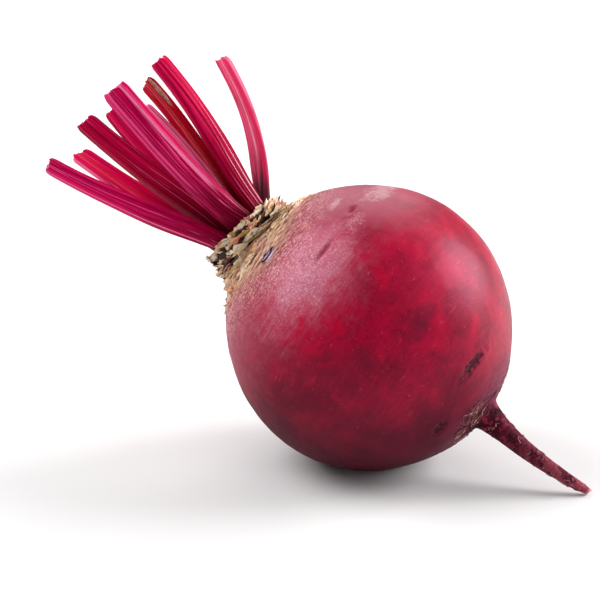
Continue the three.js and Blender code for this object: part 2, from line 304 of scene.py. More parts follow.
def colour(red, green, blue):
    """A screen colour, 0 to 255, as a shader colour."""
    channels = (channel / 255 for channel in (red, green, blue))
    return (*(c / 12.92 if c < 0.04045 else ((c + 0.055) / 1.055) ** 2.4 for c in channels), 1)


class Varying:
    """A socket whose value varies over a surface. Arithmetic on it adds Math nodes."""

    def __init__(self, finish, socket):
        self.finish = finish
        self.socket = socket

    def math(self, operation, *others):
        return self.finish.node("Math", {"operation": operation}, dict(enumerate((self, *others))))

    def __add__(self, other):
        return self.math("ADD", other)

    def __sub__(self, other):
        return self.math("SUBTRACT", other)

    def __rsub__(self, other):
        return self.finish.node("Math", {"operation": "SUBTRACT"}, {0: other, 1: self})

    def __mul__(self, other):
        return self.math("MULTIPLY", other)

    def __truediv__(self, other):
        return self.math("DIVIDE", other)

    def __pow__(self, other):
        return self.math("POWER", other)

    __radd__ = __add__
    __rmul__ = __mul__

    def step(self, low, high):
        """0 below low and 1 above high, smooth between. The other way round where low is the higher."""
        settings = {"interpolation_type": "SMOOTHSTEP"}
        return self.finish.node("MapRange", settings, {0: self, 1: low, 2: high})


class Finish:
    """One material. Its methods add nodes, and cover() joins the results to the shader."""

    def __init__(self, name, constants):
        self.material = bpy.data.materials.new(name)
        self.material.use_nodes = True
        self.tree = self.material.node_tree
        self.shader = self.tree.nodes["Principled BSDF"]
        for socket, amount in constants.items():
            self.shader.inputs[socket].default_value = amount

    def node(self, kind, settings, sockets, output=0):
        made = self.tree.nodes.new("ShaderNode" + kind)
        for setting, choice in settings.items():
            setattr(made, setting, choice)
        for socket, value in sockets.items():
            if isinstance(value, Varying):
                self.tree.links.new(value.socket, made.inputs[socket])
            else:
                made.inputs[socket].default_value = value
        return Varying(self, made.outputs[output])

    def attribute(self, name, output="Vector"):
        return self.node("Attribute", {"attribute_name": name}, {}, output)

    def axes(self, vector):
        parted = self.node("SeparateXYZ", {}, {0: vector}).socket.node
        return [Varying(self, socket) for socket in parted.outputs]

    def vector(self, x, y, z):
        return self.node("CombineXYZ", {}, {0: x, 1: y, 2: z})

    def noise(self, place, width, detail=2, roughness=0.5, distortion=0):
        """Noise about 0.5, whose features are about width across."""
        return self.node("TexNoise", {}, {
            "Vector": place, "Scale": 1 / width, "Detail": detail, "Roughness": roughness,
            "Distortion": distortion,
        })

    def mix(self, share, first, second):
        """Blends two colours, each a socket, a screen colour or, with four channels, a shader colour."""
        sockets = {0: share}
        for socket, tone in ((6, first), (7, second)):
            sockets[socket] = colour(*tone) if isinstance(tone, tuple) and len(tone) == 3 else tone
        return self.node("Mix", {"data_type": "RGBA"}, sockets, 2)

    def layers(self, tone, *coats):
        """A colour with coats over it, each given by its share and its colour."""
        for share, coat in coats:
            tone = self.mix(share, tone, coat)
        return tone

    def cover(self, base, roughness, relief):
        """Joins the colour, the roughness and the relief in millimetres to the shader."""
        bump = self.node("Bump", {}, {"Distance": MM, "Height": relief})
        for socket, value in {"Base Color": base, "Roughness": roughness, "Normal": bump}.items():
            self.tree.links.new(value.socket, self.shader.inputs[socket])
        return self.material


def skin_finish():
    skin = Finish("beet_skin", {"Specular IOR Level": 0.40, "Specular Tint": colour(255, 140, 190)})
    place = skin.attribute("growth")
    x, y, level = skin.axes(place)
    height = skin.axes(skin.node("TexCoord", {}, {}, "Object"))[2] * (1 / MM)
    length = skin.node("VectorMath", {"operation": "LENGTH"}, {0: place}, "Value")
    polar = (level / length).math("ARCCOSINE") * degrees(1)
    around = y.math("ARCTAN2", x) * degrees(1)
    radius = (x * x + y * y) ** 0.5
    beside_x, beside_y = x / radius, y / radius

    def wound(stretch, down, *settings):
        """Noise drawn out into strokes that run round the root."""
        return skin.noise(skin.vector(beside_x * stretch, beside_y * stretch, down), *settings)

    def on_marks(marks, unevenness, low, high):
        """1 on the marks and 0 away from them."""
        return sum(1 - (away(polar, around, mark) + unevenness).step(low, high) for mark in marks)

    broad = skin.noise(place, 15, 3)
    patchy = skin.noise(place, 7, 4, 0.6, 0.6)
    mottle = skin.noise(place, 1.7, 4, 0.6)
    grain = skin.noise(place, 0.5, 2, 0.6)
    speck = skin.noise(place, 0.55, 4, 0.85)
    clump = skin.noise(place, 2.6, 3, 0.7)
    pin = skin.noise(place, 0.8, 0)
    rings = wound(8, polar, 1.4, 4, 0.6, 0.3)
    strokes = wound(20, polar * 4, 2.2, 3, 0.6, 0.3)
    scratch = (wound(5, polar * 0.7, 1.2, 1) - 0.5).math("ABSOLUTE")
    scratch = scratch.step(0.008, 0.002) * clump.step(0.52, 0.6)
    stripe = wound(5, polar * 1.9, 1.0, 2)
    tail_rings = wound(3, level * 3, 1.6, 4, 0.65, 0.4)
    bars = wound(1.6, level * 1.7, 1.2, 3, 0.7, 0.5)
    tail_patch = skin.noise(place, 3.2, 3, 0.6, 0.5)

    # Crimson flesh shows through, and the underside is painted darker as painted shade
    shaded_underside = (height + (broad - 0.5) * 12).step(58, 8)
    base = skin.layers(
        skin.mix(broad.step(0.36, 0.64), (136, 0, 34), (168, 0, 46)),
        (patchy.step(0.52, 0.70) * 0.5, (200, 0, 44)),
        (patchy.step(0.46, 0.30) * 0.4, (92, 0, 28)),
        (rings.step(0.52, 0.68) * 0.22, (200, 22, 62)),
        (rings.step(0.48, 0.32) * 0.22, (90, 0, 26)),
        (mottle.step(0.40, 0.7) * 0.16, (84, 0, 18)),
        (speck.step(0.52, 0.70) * 0.22, (206, 50, 86)),
        (pin.step(0.76, 0.82) * 0.5, (60, 4, 18)),
        (scratch * 0.4, (226, 92, 116)),
        (on_marks(BRUISES, (patchy - 0.5) * 2.4, 0.1, 1.1) * 0.45, (84, 16, 38)),
        (shaded_underside * 0.85, (40, 0, 12)),
    )

    # Towards the tail it is dull and streaked, and crusty where the side roots were, with painted shade in
    # its fissures
    toward_tail = (polar + (broad - 0.5) * 14).step(148, 164)
    crust_and_fissure_shade = (polar + (strokes - 0.5) * 16).step(156, 163) * (polar + (clump - 0.5) * 6).step(172, 167)
    crust_and_fissure_shade = crust_and_fissure_shade * away(polar, around, CRUST_AND_FISSURE_SHADE).step(1.2, 0.6)
    base = skin.layers(
        base,
        (toward_tail * 0.6, (98, 20, 56)),
        (toward_tail * strokes.step(0.5, 0.64) * 0.5, (52, 6, 20)),
        (toward_tail * strokes.step(0.46, 0.34) * 0.3, (176, 90, 110)),
        (crust_and_fissure_shade * 0.7, (62, 12, 26)),
        (crust_and_fissure_shade * speck.step(0.48, 0.58) * 0.7, (190, 124, 116)),
        # painted shade in the fissures of the crusty skin
        (crust_and_fissure_shade * clump.step(0.5, 0.62) * 0.8, (36, 6, 14)),
    )

    # The shoulder is rosy, with dust in front that is partly a painted sheen, a few chalky patches, and the
    # top painted duller and darker as painted shade
    film = (polar + (patchy - 0.5) * 28 + (clump - 0.5) * 10 + (rings - 0.5) * 18).step(78, 42)
    # painted shade: the top of the root is painted duller and darker
    top_shade = (height + (broad - 0.5) * 12 + (clump - 0.5) * 5).step(71, 80)
    unevenness = (patchy - 0.5) * 1.2 + (clump - 0.5) * 0.5 + (rings - 0.5) * 0.7
    haze_and_sheen = on_marks([HAZE_AND_SHEEN], unevenness + (mottle - 0.5) * 0.6, 0.1, 1.2)
    bloom_and_sheen = on_marks([BLOOM_AND_SHEEN], unevenness, 0.1, 1.4)
    chalk = on_marks(CHALK, (clump - 0.5) * 1.6 + unevenness, 0.3, 1.2)
    in_patch = on_marks([ROUGH_PATCH], (clump - 0.5) * 2, 0.5, 1.2)
    base = skin.layers(
        base,
        (film * 0.85, skin.mix(mottle.step(0.3, 0.7), (142, 50, 70), (172, 84, 102))),
        (top_shade * 0.55, (146, 78, 92)),
        # fainter dust, partly painted sheen
        (haze_and_sheen * 0.6, (184, 82, 104)),
        # dust on the shoulder, partly a painted sheen, with pale specks
        (bloom_and_sheen * (0.45 + clump.step(0.35, 0.65) * 0.4), (208, 134, 154)),
        (bloom_and_sheen * speck.step(0.50, 0.66) * 0.8, (242, 196, 208)),
        (bloom_and_sheen.math("MAXIMUM", film) * speck.step(0.45, 0.32) * 0.6, (142, 36, 66)),
        (chalk * (0.25 + speck.step(0.42, 0.62) * 0.35), (206, 176, 178)),
        (in_patch * speck.step(0.46, 0.62) * 0.6, (222, 168, 176)),
    )

    # Cork strokes round the crown
    start, more, at, spread = CORK_REACH
    offset = (around - at) / spread
    past_start = polar - (start + more * (offset * offset * -1).math("EXPONENT"))
    corky = (past_start + (strokes - 0.5) * 30 + (speck - 0.5) * 8).step(4, -5)
    past_cork = past_start.step(20, 2) * (1 - corky)
    cork_tone = skin.layers(
        skin.mix(strokes.step(0.40, 0.60), (120, 62, 56), (236, 196, 160)),
        (speck.step(0.55, 0.7) * 0.6, (250, 226, 196)),
        (mottle.step(0.58, 0.7) * 0.5, (190, 150, 84)),
    )
    base = skin.layers(
        base,
        (corky, cork_tone),
        (past_cork * strokes.step(0.52, 0.64) * 0.6, (236, 176, 164)),
        (past_cork * speck.step(0.52, 0.62) * 0.7, (246, 206, 190)),
        (past_cork * speck.step(0.44, 0.34) * 0.5, (120, 40, 56)),
    )

    # The tail: dark at its base, redder towards its end, with pale flecks across it
    on_tail = level.step(-39.8, -41.5)
    down_tail = level.step(-42, -74)
    collar = level.step(-48, -42) * (tail_patch + (speck - 0.5) * 0.4).step(0.40, 0.54)
    tail_tone = skin.layers(
        skin.mix(down_tail, (82, 2, 26), (158, 72, 88)),
        (tail_patch.step(0.46, 0.34) * 0.6, (170, 62, 84)),
        (tail_patch.step(0.51, 0.59) * 0.85, (64, 4, 18)),
        (tail_rings.step(0.45, 0.38) * 0.6, (40, 2, 14)),
        (bars.step(0.56, 0.66) * (0.1 + down_tail * 0.6), (204, 132, 140)),
        (tail_rings.step(0.62, 0.72) * (0.2 + down_tail * 0.3), (206, 124, 130)),
        (level.step(-75.4, -76.4) * 0.6, (244, 196, 196)),
        (collar * 0.8, (38, 6, 14)),
    )

    healed = on_marks(SCARS, (mottle - 0.5) * 2.2, 0.55, 1.1)
    scar_tone = skin.layers(
        skin.mix(strokes.step(0.52, 0.62), (30, 6, 14), (104, 54, 62)),
        (speck.step(0.58, 0.66) * 0.6, (186, 130, 132)),
    )
    leaf_scar_tone = skin.mix(stripe.step(0.46, 0.58), (44, 12, 30), (214, 192, 212))
    base = skin.layers(
        base,
        (on_tail, tail_tone),
        (healed * 0.9, scar_tone),
        (on_marks(DENTS, (mottle - 0.5) * 1.2, 0.3, 1.0) * 0.75, (132, 8, 42)),
        (on_marks([LEAF_SCAR], (speck - 0.5) * 0.5, 0.8, 1.1), leaf_scar_tone),
    )

    dust = (bloom_and_sheen * 0.5).math("MAXIMUM", film * 0.25)
    rough = 0.41 + dust * 0.3 + shaded_underside * 0.3 + healed * 0.35 + corky * 0.4 + on_tail * 0.12
    relief = (grain - 0.5) * 0.02 + (speck - 0.5) * (bloom_and_sheen + chalk) * 0.10 + (strokes - 0.5) * corky * 0.5
    relief = relief + (tail_rings - 0.5) * on_tail * 0.35 + (strokes - 0.5) * toward_tail * 0.16
    return skin.cover(base, rough + (mottle - 0.5) * 0.12, relief + (mottle - 0.5) * 0.03)


root_piece = piece(root_shape, "root_skin", skin_finish(), Matrix.Identity(4))
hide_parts("taproot")

# ------------------------------------------------------------
# Root hairs: dried thin side roots. They lie tangled round the place where the tail leaves the globe, and
# some cling to the tail.

HAIR_SIDES = 5
HAIR_RINGS = 12
TAIL_SPAN = 100  # of the way down the root, counted on from TAIL_START_POLAR, for the whole tail
HAIR_GROUPS = [  # how many, way down from and to, angle around from and to, turn from and to, radius, lift
    (14, 162, 176, -180, 180, 20, 60, 0.09, 0.3),
    (40, 159, 176, -122, -62, 12, 40, 0.11, 0.5),
    (26, 168, 192, -140, -50, 20, 80, 0.12, 0.6),
    (16, 184, 222, -120, -30, 20, 60, 0.13, 0.4),
    (26, 200, 264, -180, 180, 20, 80, 0.10, 0.15),
]

hair_random = random.Random(11)


def rod(sides, rings):
    """A rod of radius 1 from 0 to 1 along the vertical, cut into rings, its ends closed."""
    shape = bmesh.new()
    bmesh.ops.create_cone(shape, cap_ends=True, segments=sides, radius1=1, radius2=1, depth=1)
    bmesh.ops.translate(shape, verts=shape.verts, vec=(0, 0, 0.5))
    uprights = [edge for edge in shape.edges if abs(edge.verts[0].co.z - edge.verts[1].co.z) > 0.5]
    bmesh.ops.subdivide_edges(shape, edges=uprights, cuts=rings - 1)
    return shape


def on_root(down, around, lift):
    """A place on the root's skin in the growth frame, down in degrees on the globe, then along the tail."""
    if down < TAIL_START_POLAR:
        radius, level = globe_point(down)
    else:
        radius, level = smooth_line(tail_points, (down - TAIL_START_POLAR) / TAIL_SPAN)
    return grown(at_angle(radians(around), radius, level), lift)


def add_hair(shape, down, around, turn, radius, lift):
    """Adds one thread that winds partly round the root, its ends pressed to the skin."""
    seed = Vector((hair_random.uniform(0, 90), 0, 0))
    drift = hair_random.uniform(-4, 4)
    tint = hair_random.random()

    def middle(share):
        wander = noise(seed + Vector((0, share * 2.2, 0)))
        rise = 0.08 + lift * sin(pi * share) * (0.5 + noise(seed + Vector((0, 0, share * 2.6))))
        return on_root(down + drift * (share - 0.5) + 5 * wander, around + turn * (share - 0.5), rise)

    thread = rod(HAIR_SIDES, HAIR_RINGS)
    tint_layer = thread.verts.layers.float.new("tint")
    growth_layer = thread.verts.layers.float_vector.new("growth")
    centres = [middle(ring / HAIR_RINGS) for ring in range(HAIR_RINGS + 1)]
    for vert in thread.verts:
        ring = round(vert.co.z * HAIR_RINGS)
        along = (centres[min(ring + 1, HAIR_RINGS)] - centres[max(ring - 1, 0)]).normalized()
        side = along.orthogonal().normalized()
        thickness = radius * (1 - 0.8 * abs(2 * vert.co.z - 1) ** 4)
        vert[tint_layer] = tint
        vert[growth_layer] = centres[ring]
        vert.co = centres[ring] + thickness * (vert.co.x * side + vert.co.y * along.cross(side))
    single = bpy.data.meshes.new("thread")
    thread.to_mesh(single)
    thread.free()
    shape.from_mesh(single)
    bpy.data.meshes.remove(single)


hair_shape = bmesh.new()
hair_shape.verts.layers.float.new("tint")
hair_shape.verts.layers.float_vector.new("growth")
for count, down_from, down_to, around_from, around_to, turn_from, turn_to, radius, lift in HAIR_GROUPS:
    for _ in range(count):
        add_hair(
            hair_shape, hair_random.uniform(down_from, down_to), hair_random.uniform(around_from, around_to),
            hair_random.uniform(turn_from, turn_to), radius * hair_random.uniform(0.6, 1.2), lift,
        )


def hair_finish():
    hair = Finish("root_hair", {"Roughness": 0.7, "Specular IOR Level": 0.3})
    tint = hair.attribute("tint", "Fac")
    fleck = hair.noise(hair.attribute("growth"), 0.8, 2)
    base = hair.layers(
        hair.mix(tint.step(0.35, 0.6), (48, 4, 16), (150, 70, 78)),
        (tint.step(0.68, 0.9), (224, 164, 158)),
        (fleck.step(0.46, 0.6) * 0.7, (84, 14, 30)),
    )
    return hair.cover(base, 0.7 + (fleck - 0.5) * 0.2, (fleck - 0.5) * 0.1)


piece(hair_shape, "root_hairs", hair_finish(), lay_down)

# ------------------------------------------------------------
# Crown: the short stem on the globe, grown over by cork. Below it the cork thins out over the skin, and
# its top is a shallow dish in which the leaf stalks stand.

CROWN_TILT_UP = 12
CROWN_TILT_FRONT = 8
CROWN_FOOT_RADIUS = 16.3
CROWN_NECK_RADIUS = 12.2
CROWN_FLARE = 1.8
CROWN_RIM_HEIGHT = 9.6
CROWN_RIM_WALL = 1.6
CROWN_DISH_FLOOR = 6.7
CROWN_FRONT_RISE = 0.8
CROWN_FOOT_SINK = 0.4
CORK_RIDGES = (0.9, 0.34)  # height of the broad and of the fine ridges that run round it
RIM_RAGGEDNESS = 0.8
RIM_DIP = (1.8, 25, 35)  # where the rim is worn down: depth, angle around and spread
CORK_GAPS = [  # angle around, distance down from the rim, half length, half width, depth
    (-5, 1.3, 2.2, 0.8, 1.5),
    (-24, 0.5, 1.3, 0.9, 1.5),
    (-41, 1.1, 1.4, 0.5, 1.3),
    (-58, 2.6, 2.4, 0.4, 0.9),
    (-90, 1.0, 1.3, 0.6, 1.4),
    (-96, 4.0, 1.6, 0.5, 1.1),
    (-72, 5.0, 2.2, 0.35, 0.8),
    (-30, 3.6, 2.6, 0.35, 0.8),
    (40, 1.5, 2.4, 0.8, 1.4),
    (95, 1.0, 2.0, 0.9, 1.5),
    (140, 2.8, 2.6, 0.6, 1.2),
    (175, 1.2, 2.2, 0.8, 1.4),
    (-140, 1.4, 2.4, 0.8, 1.4),
]
CORK_SIDE = 10.6  # length of the crown's side from rim to foot

CROWN_SIDES = 260
CROWN_RINGS = 80
DISH_WALL_RINGS = 9
DISH_WALL_STEP = 0.3
DISH_FLOOR_RINGS = 14
BOTTOM_RADIUS = 8  # of the inner ring of the crown's hidden underside

crown_tilt = (
    Matrix.Rotation(radians(CROWN_TILT_UP), 4, "Y") @ Matrix.Rotation(radians(CROWN_TILT_FRONT), 4, "X")
)
crown_frame = Matrix.Translation((0, 0, CROWN_LEVEL)) @ crown_tilt
crown_lay_down = lay_down @ crown_frame
crown_upright = crown_tilt.to_quaternion().inverted()


def crown_side(climb):
    """Radius and height of the crown's side, from its foot at 0 to its rim at 1."""
    flare = (CROWN_FOOT_RADIUS - CROWN_NECK_RADIUS) * max(1 - climb, 0) ** CROWN_FLARE
    return CROWN_NECK_RADIUS + flare, blend(-CROWN_FOOT_SINK, CROWN_RIM_HEIGHT, climb)


def set_crown(place):
    """Turns the crown's foot back onto the globe, whose axis the crown leans away from."""
    return crown_upright.slerp(Quaternion(), smooth_step(place.z, 0, CROWN_DISH_FLOOR)) @ place


def cork_ridge(around, height):
    """How far the ridges that run round the crown stand out, and a value, low in the dips between them, that
    sets the painted shade there.
    """
    turned = at_angle(around)
    broad = noise(turned * 1.7 + Vector((4, 0, height / 1.9)))
    fine = noise(turned * 6 + Vector((0, 7, height / 0.55)))
    return CORK_RIDGES[0] * broad + CORK_RIDGES[1] * fine, 0.5 + 0.5 * broad + 0.6 * fine


def rim_dip(around):
    depth, at, spread = RIM_DIP
    return depth * hump(degrees(around), at, spread)


def gap_depth(around, down):
    """How deep the gaps between the leaf bases are at a place, and how much of one the place is in."""
    deepest, inside = 0, 0
    for middle, gap_down, half_length, half_width, depth in CORK_GAPS:
        aside = (degrees(around) - middle + 180) % 360 - 180
        reach = hypot(radians(aside) * CROWN_NECK_RADIUS / half_length, (down - gap_down) / half_width)
        share = 1 - smooth_step(reach + 0.6 * noise(Vector((aside / 5, down, middle))), 0.5, 1.25)
        deepest, inside = max(deepest, depth * share), max(inside, share)
    return deepest, inside


dish_radius = CROWN_NECK_RADIUS - CROWN_RIM_WALL
crown_profile = [(0, -CROWN_FOOT_SINK), (BOTTOM_RADIUS, -CROWN_FOOT_SINK)]
crown_profile += [crown_side(ring / CROWN_RINGS) for ring in range(CROWN_RINGS + 1)]
crown_profile += [(dish_radius, CROWN_RIM_HEIGHT - DISH_WALL_STEP * ring) for ring in range(DISH_WALL_RINGS)]
for ring in range(DISH_FLOOR_RINGS + 1):
    crown_profile.append((dish_radius * (1 - ring / DISH_FLOOR_RINGS), CROWN_DISH_FLOOR))

crown_shape = spun(crown_profile, CROWN_SIDES)
crown_growth = crown_shape.verts.layers.float_vector.new("growth")
crown_hollow_shading = crown_shape.verts.layers.float.new("hollow_shading")
for vert in crown_shape.verts:
    radius = hypot(vert.co.x, vert.co.y)
    around = atan2(vert.co.y, vert.co.x)
    on_wall = radius > dish_radius - 0.01
    vert[crown_growth] = vert.co
    # painted shade: the dish floor and the hidden underside get the darkest value
    vert[crown_hollow_shading] = 0.1
    rise = 0
    if on_wall:
        rise = smooth_step(vert.co.z, CROWN_DISH_FLOOR - 2, CROWN_RIM_HEIGHT)
    if on_wall and vert.co.z > 0:
        stand, hollow_shading = cork_ridge(around, vert.co.z)
        deep, inside = gap_depth(around, CORK_SIDE * (1 - vert.co.z / CROWN_RIM_HEIGHT))
        vert[crown_hollow_shading] = hollow_shading - inside
        stand -= deep * smooth_step(radius, dish_radius, dish_radius + 1.5)
        vert.co.xy *= (radius + stand) / radius
    rough_rim = 2 * RIM_RAGGEDNESS * noise(at_angle(around) * 5)
    vert.co.z += rise * (rough_rim - CROWN_FRONT_RISE * sin(around) - rim_dip(around))
    vert.co = set_crown(vert.co)


def cork_finish():
    cork = Finish("cork", {"Specular IOR Level": 0.25})
    place = cork.attribute("growth")
    x, y, level = cork.axes(place)
    hollow_shading = cork.attribute("hollow_shading", "Fac")
    radius = (x * x + y * y) ** 0.5 + 0.01
    fibre = cork.noise(cork.vector(x / radius * 12, y / radius * 12, level * 2.2), 1.1, 4, 0.6, 0.3)
    patch = cork.noise(place, 2.6, 2)
    grain = cork.noise(place, 0.35, 2)
    base = cork.layers(
        cork.mix(fibre.step(0.36, 0.68), (80, 32, 24), (220, 174, 132)),
        (patch.step(0.55, 0.7) * 0.5, (150, 116, 58)),
        (patch.step(0.44, 0.32) * 0.6, (186, 88, 84)),
        # painted shade: the upper cork, under and between the scales and in the dish, is painted near black
        ((level + (fibre - 0.5) * 9).step(-1, 4) * 0.9, (42, 12, 12)),
        # painted shade in the dips between the ridges, in the gaps between leaf bases and in the dish
        ((hollow_shading + (fibre - 0.5) * 0.5).step(0.44, 0.2), (22, 6, 8)),
    )
    return cork.cover(base, 0.78 + (grain - 0.5) * 0.2, (fibre - 0.5) * 0.5 + (grain - 0.5) * 0.06)


crown_piece = piece(crown_shape, "crown_cork", cork_finish(), crown_lay_down)
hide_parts("crown")

# ------------------------------------------------------------
# Crown scales: what is left of old leaf bases, dry and papery. They lie in rows round the crown and lift
# at their upper edges, and between the stalks they stand up from the rim.

SCALE_THICKNESS = 0.14
SCALE_CELLS = (7, 3)  # along and across
SCALE_ROWS = [  # distance down from the rim, how many, length, width, lift of the free edge
    (0.3, 9, 5.2, 1.2, 1.3),
    (1.3, 11, 5.8, 1.2, 1.4),
    (2.3, 13, 6.4, 1.3, 1.3),
    (3.4, 16, 7.2, 1.3, 1.2),
    (4.6, 21, 8.2, 1.3, 1.0),
    (5.8, 26, 8.6, 1.3, 0.9),
    (7.0, 30, 8.8, 1.3, 0.9),
    (8.3, 34, 8.4, 1.3, 0.9),
    (9.7, 38, 7.6, 1.2, 0.8),
    (11.1, 42, 6.6, 1.1, 0.75),
    (12.6, 46, 5.8, 1.0, 0.65),
    (14.2, 46, 5.0, 0.8, 0.6),
    (15.8, 36, 4.4, 0.6, 0.5),
]
RIM_FLAKES = [  # angle around, distance down, length, width, lift, tint; they curl up from the rim
    (-6, -0.2, 5.6, 1.9, 1.5, 0.10),
    (-19, -0.5, 4.4, 1.7, 0.5, 0.30),
    (-33, 0.1, 5.2, 1.5, 1.5, 0.05),
    (-47, -0.4, 4.6, 1.4, 0.7, 0.60),
    (-58, 0.1, 5.4, 1.5, 1.6, 0.14),
    (-73, -0.3, 4.8, 1.6, 0.8, 0.75),
    (-86, 0.0, 5.6, 1.7, 1.6, 0.06),
    (-101, -0.4, 4.4, 1.9, 0.9, 0.35),
    (-113, 0.2, 5.0, 1.6, 1.5, 0.12),
    (12, -0.3, 5.2, 1.6, 1.2, 0.20),
    (62, -0.2, 5.2, 1.7, 1.2, 0.30),
    (112, -0.3, 5.4, 1.8, 1.2, 0.08),
    (154, -0.2, 4.8, 1.6, 1.0, 0.20),
    (-152, -0.3, 5.2, 1.8, 1.2, 0.12),
]
SINGLE_SCALES = [  # the same, for those that lie on the side: a red one, greenish ones and pale ones
    (-50, 3.2, 4.6, 1.7, 1.0, 0.95),
    (-62, 1.8, 3.6, 1.6, 1.0, 0.72),
    (-43, 5.0, 4.4, 1.4, 0.9, 0.74),
    (-36, 6.4, 4.0, 1.3, 0.8, 0.60),
    (-80, 3.4, 6.0, 2.4, 1.1, 0.02),
    (-88, 6.4, 6.0, 2.0, 1.0, 0.05),
    (-66, 6.2, 5.4, 1.5, 0.9, 0.04),
]
SCALE_TURN_RADIUS = 14  # the middle one of the rings that the scales lie on

cork_random = random.Random(5)


def cork_place(around, down, lift):
    """A place in the growth frame on the crown's side, down mm from the rim and on over the globe."""
    if down < CORK_SIDE:
        climb = 1 - down / CORK_SIDE
        radius, height = crown_side(climb)
        radius += cork_ridge(around, height)[0] + lift * (0.75 + 0.25 * min(climb, 1))
        height -= smooth_step(climb, 0.6, 1) * (CROWN_FRONT_RISE * sin(around) + rim_dip(around))
        return crown_frame @ set_crown(at_angle(around, radius, height + lift * 0.5))
    radius, level = globe_point(first_polar + degrees((down - CORK_SIDE) / GLOBE_RADIUS))
    return at_angle(around, radius, level) * (1 + lift / GLOBE_RADIUS)


def cork_reach_down(around):
    """How far down from the rim the cork goes at an angle around."""
    start, more, at, spread = CORK_REACH
    polar = start + more * hump(degrees(around), at, spread)
    return CORK_SIDE + radians(polar - first_polar) * GLOBE_RADIUS


def add_scale(shape, around, down, length, width, lift, tint):
    """Adds one scale: a thin ragged strip on the cork, its lower edge sunk and its upper one free."""
    tint_layer, edge_layer = shape.verts.layers.float["tint"], shape.verts.layers.float["edge"]
    growth_layer = shape.verts.layers.float_vector["growth"]
    cells_along, cells_across = SCALE_CELLS
    sheet = bmesh.ops.create_grid(shape, x_segments=cells_along, y_segments=cells_across, size=1)
    faces = list({face for vert in sheet["verts"] for face in vert.link_faces})
    wall = bmesh.ops.solidify(shape, geom=faces, thickness=SCALE_THICKNESS)
    verts = {vert for face in faces for vert in face.verts}
    verts |= {item for item in wall["geom"] if isinstance(item, bmesh.types.BMVert)}
    seed = Vector((cork_random.uniform(0, 50), 0, 0))
    slope = cork_random.uniform(-0.14, 0.14)
    curl = cork_random.uniform(-0.2, 0.6) * lift
    for vert in verts:
        along, across, over = vert.co
        edge = (across + 1) / 2
        ragged = noise(seed + Vector((along * 3.4, edge, 0)))
        flutter = noise(seed + Vector((along * 2.2, edge * 1.4, 9)))
        narrow = (1 - abs(along) ** 2.5) * (0.8 + 1.1 * ragged) + 0.05
        place_down = down - (edge - 0.5) * width * narrow - slope * along * length
        flap = lift * edge ** 1.3 * (0.6 + 1.3 * flutter)
        stand = 0.12 + flap + curl * along ** 2 - 0.3 * (1 - edge) + over
        angle = around + along * (length / 2 + 0.7 * ragged) / SCALE_TURN_RADIUS
        vert[tint_layer] = tint
        vert[edge_layer] = edge
        vert[growth_layer] = (along * length / 2, place_down, tint * 40)
        vert.co = cork_place(angle, place_down, stand)


scale_shape = bmesh.new()
scale_shape.verts.layers.float.new("tint")
scale_shape.verts.layers.float.new("edge")
scale_shape.verts.layers.float_vector.new("growth")
for down, count, length, width, lift in SCALE_ROWS:
    for number in range(count):
        around = 2 * pi * (number + cork_random.uniform(-0.4, 0.4)) / count - pi
        place_down = down + cork_random.uniform(-0.7, 0.7)
        size = cork_random.uniform(0.55, 1.25)
        broadness = cork_random.uniform(0.6, 1.3)
        rise = cork_random.uniform(0.3, 1.4)
        tint = cork_random.random()
        if place_down < cork_reach_down(around) - 0.6 and gap_depth(around, place_down)[1] < 0.5:
            add_scale(scale_shape, around, place_down, length * size, width * broadness, lift * rise, tint)
for around, down, length, width, lift, tint in RIM_FLAKES + SINGLE_SCALES:
    add_scale(scale_shape, radians(around), down, length, width, lift, tint)


def scale_finish():
    scale = Finish("dry_scale", {"Specular IOR Level": 0.6})
    place = scale.attribute("growth")
    tint = scale.attribute("tint", "Fac")
    x, y, z = scale.axes(place)
    fibre = scale.noise(scale.vector(x * 0.35, y * 4.2, z), 0.9, 4, 0.65, 0.3)
    patch = scale.noise(place, 2.0, 2)
    edge = scale.attribute("edge", "Fac") + (fibre - 0.5) * 0.5
    base = scale.layers(
        scale.mix(tint.step(0.15, 0.4), (255, 240, 212), (255, 212, 170)),
        (tint.step(0.50, 0.58), (250, 156, 124)),
        (tint.step(0.67, 0.71), (220, 170, 80)),
        (tint.step(0.78, 0.82), (122, 60, 42)),
        (tint.step(0.9, 0.94), (214, 84, 92)),
        (fibre.step(0.47, 0.38) * 0.75, (112, 46, 28)),
        (patch.step(0.66, 0.76) * 0.6, (56, 18, 14)),
        # painted shade along each scale's sunk lower edge
        (edge.step(0.50, 0.10) * 0.9, (50, 14, 12)),
        # painted highlight along each scale's free upper edge
        (edge.step(0.76, 0.98) * 0.6, (255, 238, 208)),
    )
    return scale.cover(base, 0.7 + (fibre - 0.5) * 0.3, (fibre - 0.5) * 0.35)


piece(scale_shape, "crown_scales", scale_finish(), lay_down)

# ------------------------------------------------------------
# Leaf stalks: crisp fleshy stubs, ribbed along the outer face and grooved along the inner one. They were
# cut through with a knife, and the cut has dried a little ragged.

STALK_RISE = 7
STALK_FOOT_HEIGHT = 7
STALK_GROOVE = 0.85
STALK_TEAR = 0.6
STALK_TWIST_SHARE = 0.6
RIB_WARP = 0.6
STALK_SIDES = 120
STALK_RINGS = 110
CUT_INSETS = 4
CUT_RIM = 0.95  # share of a stalk's reach that shows the cut's pith
TO_TIP = 99  # beyond the end of any stalk
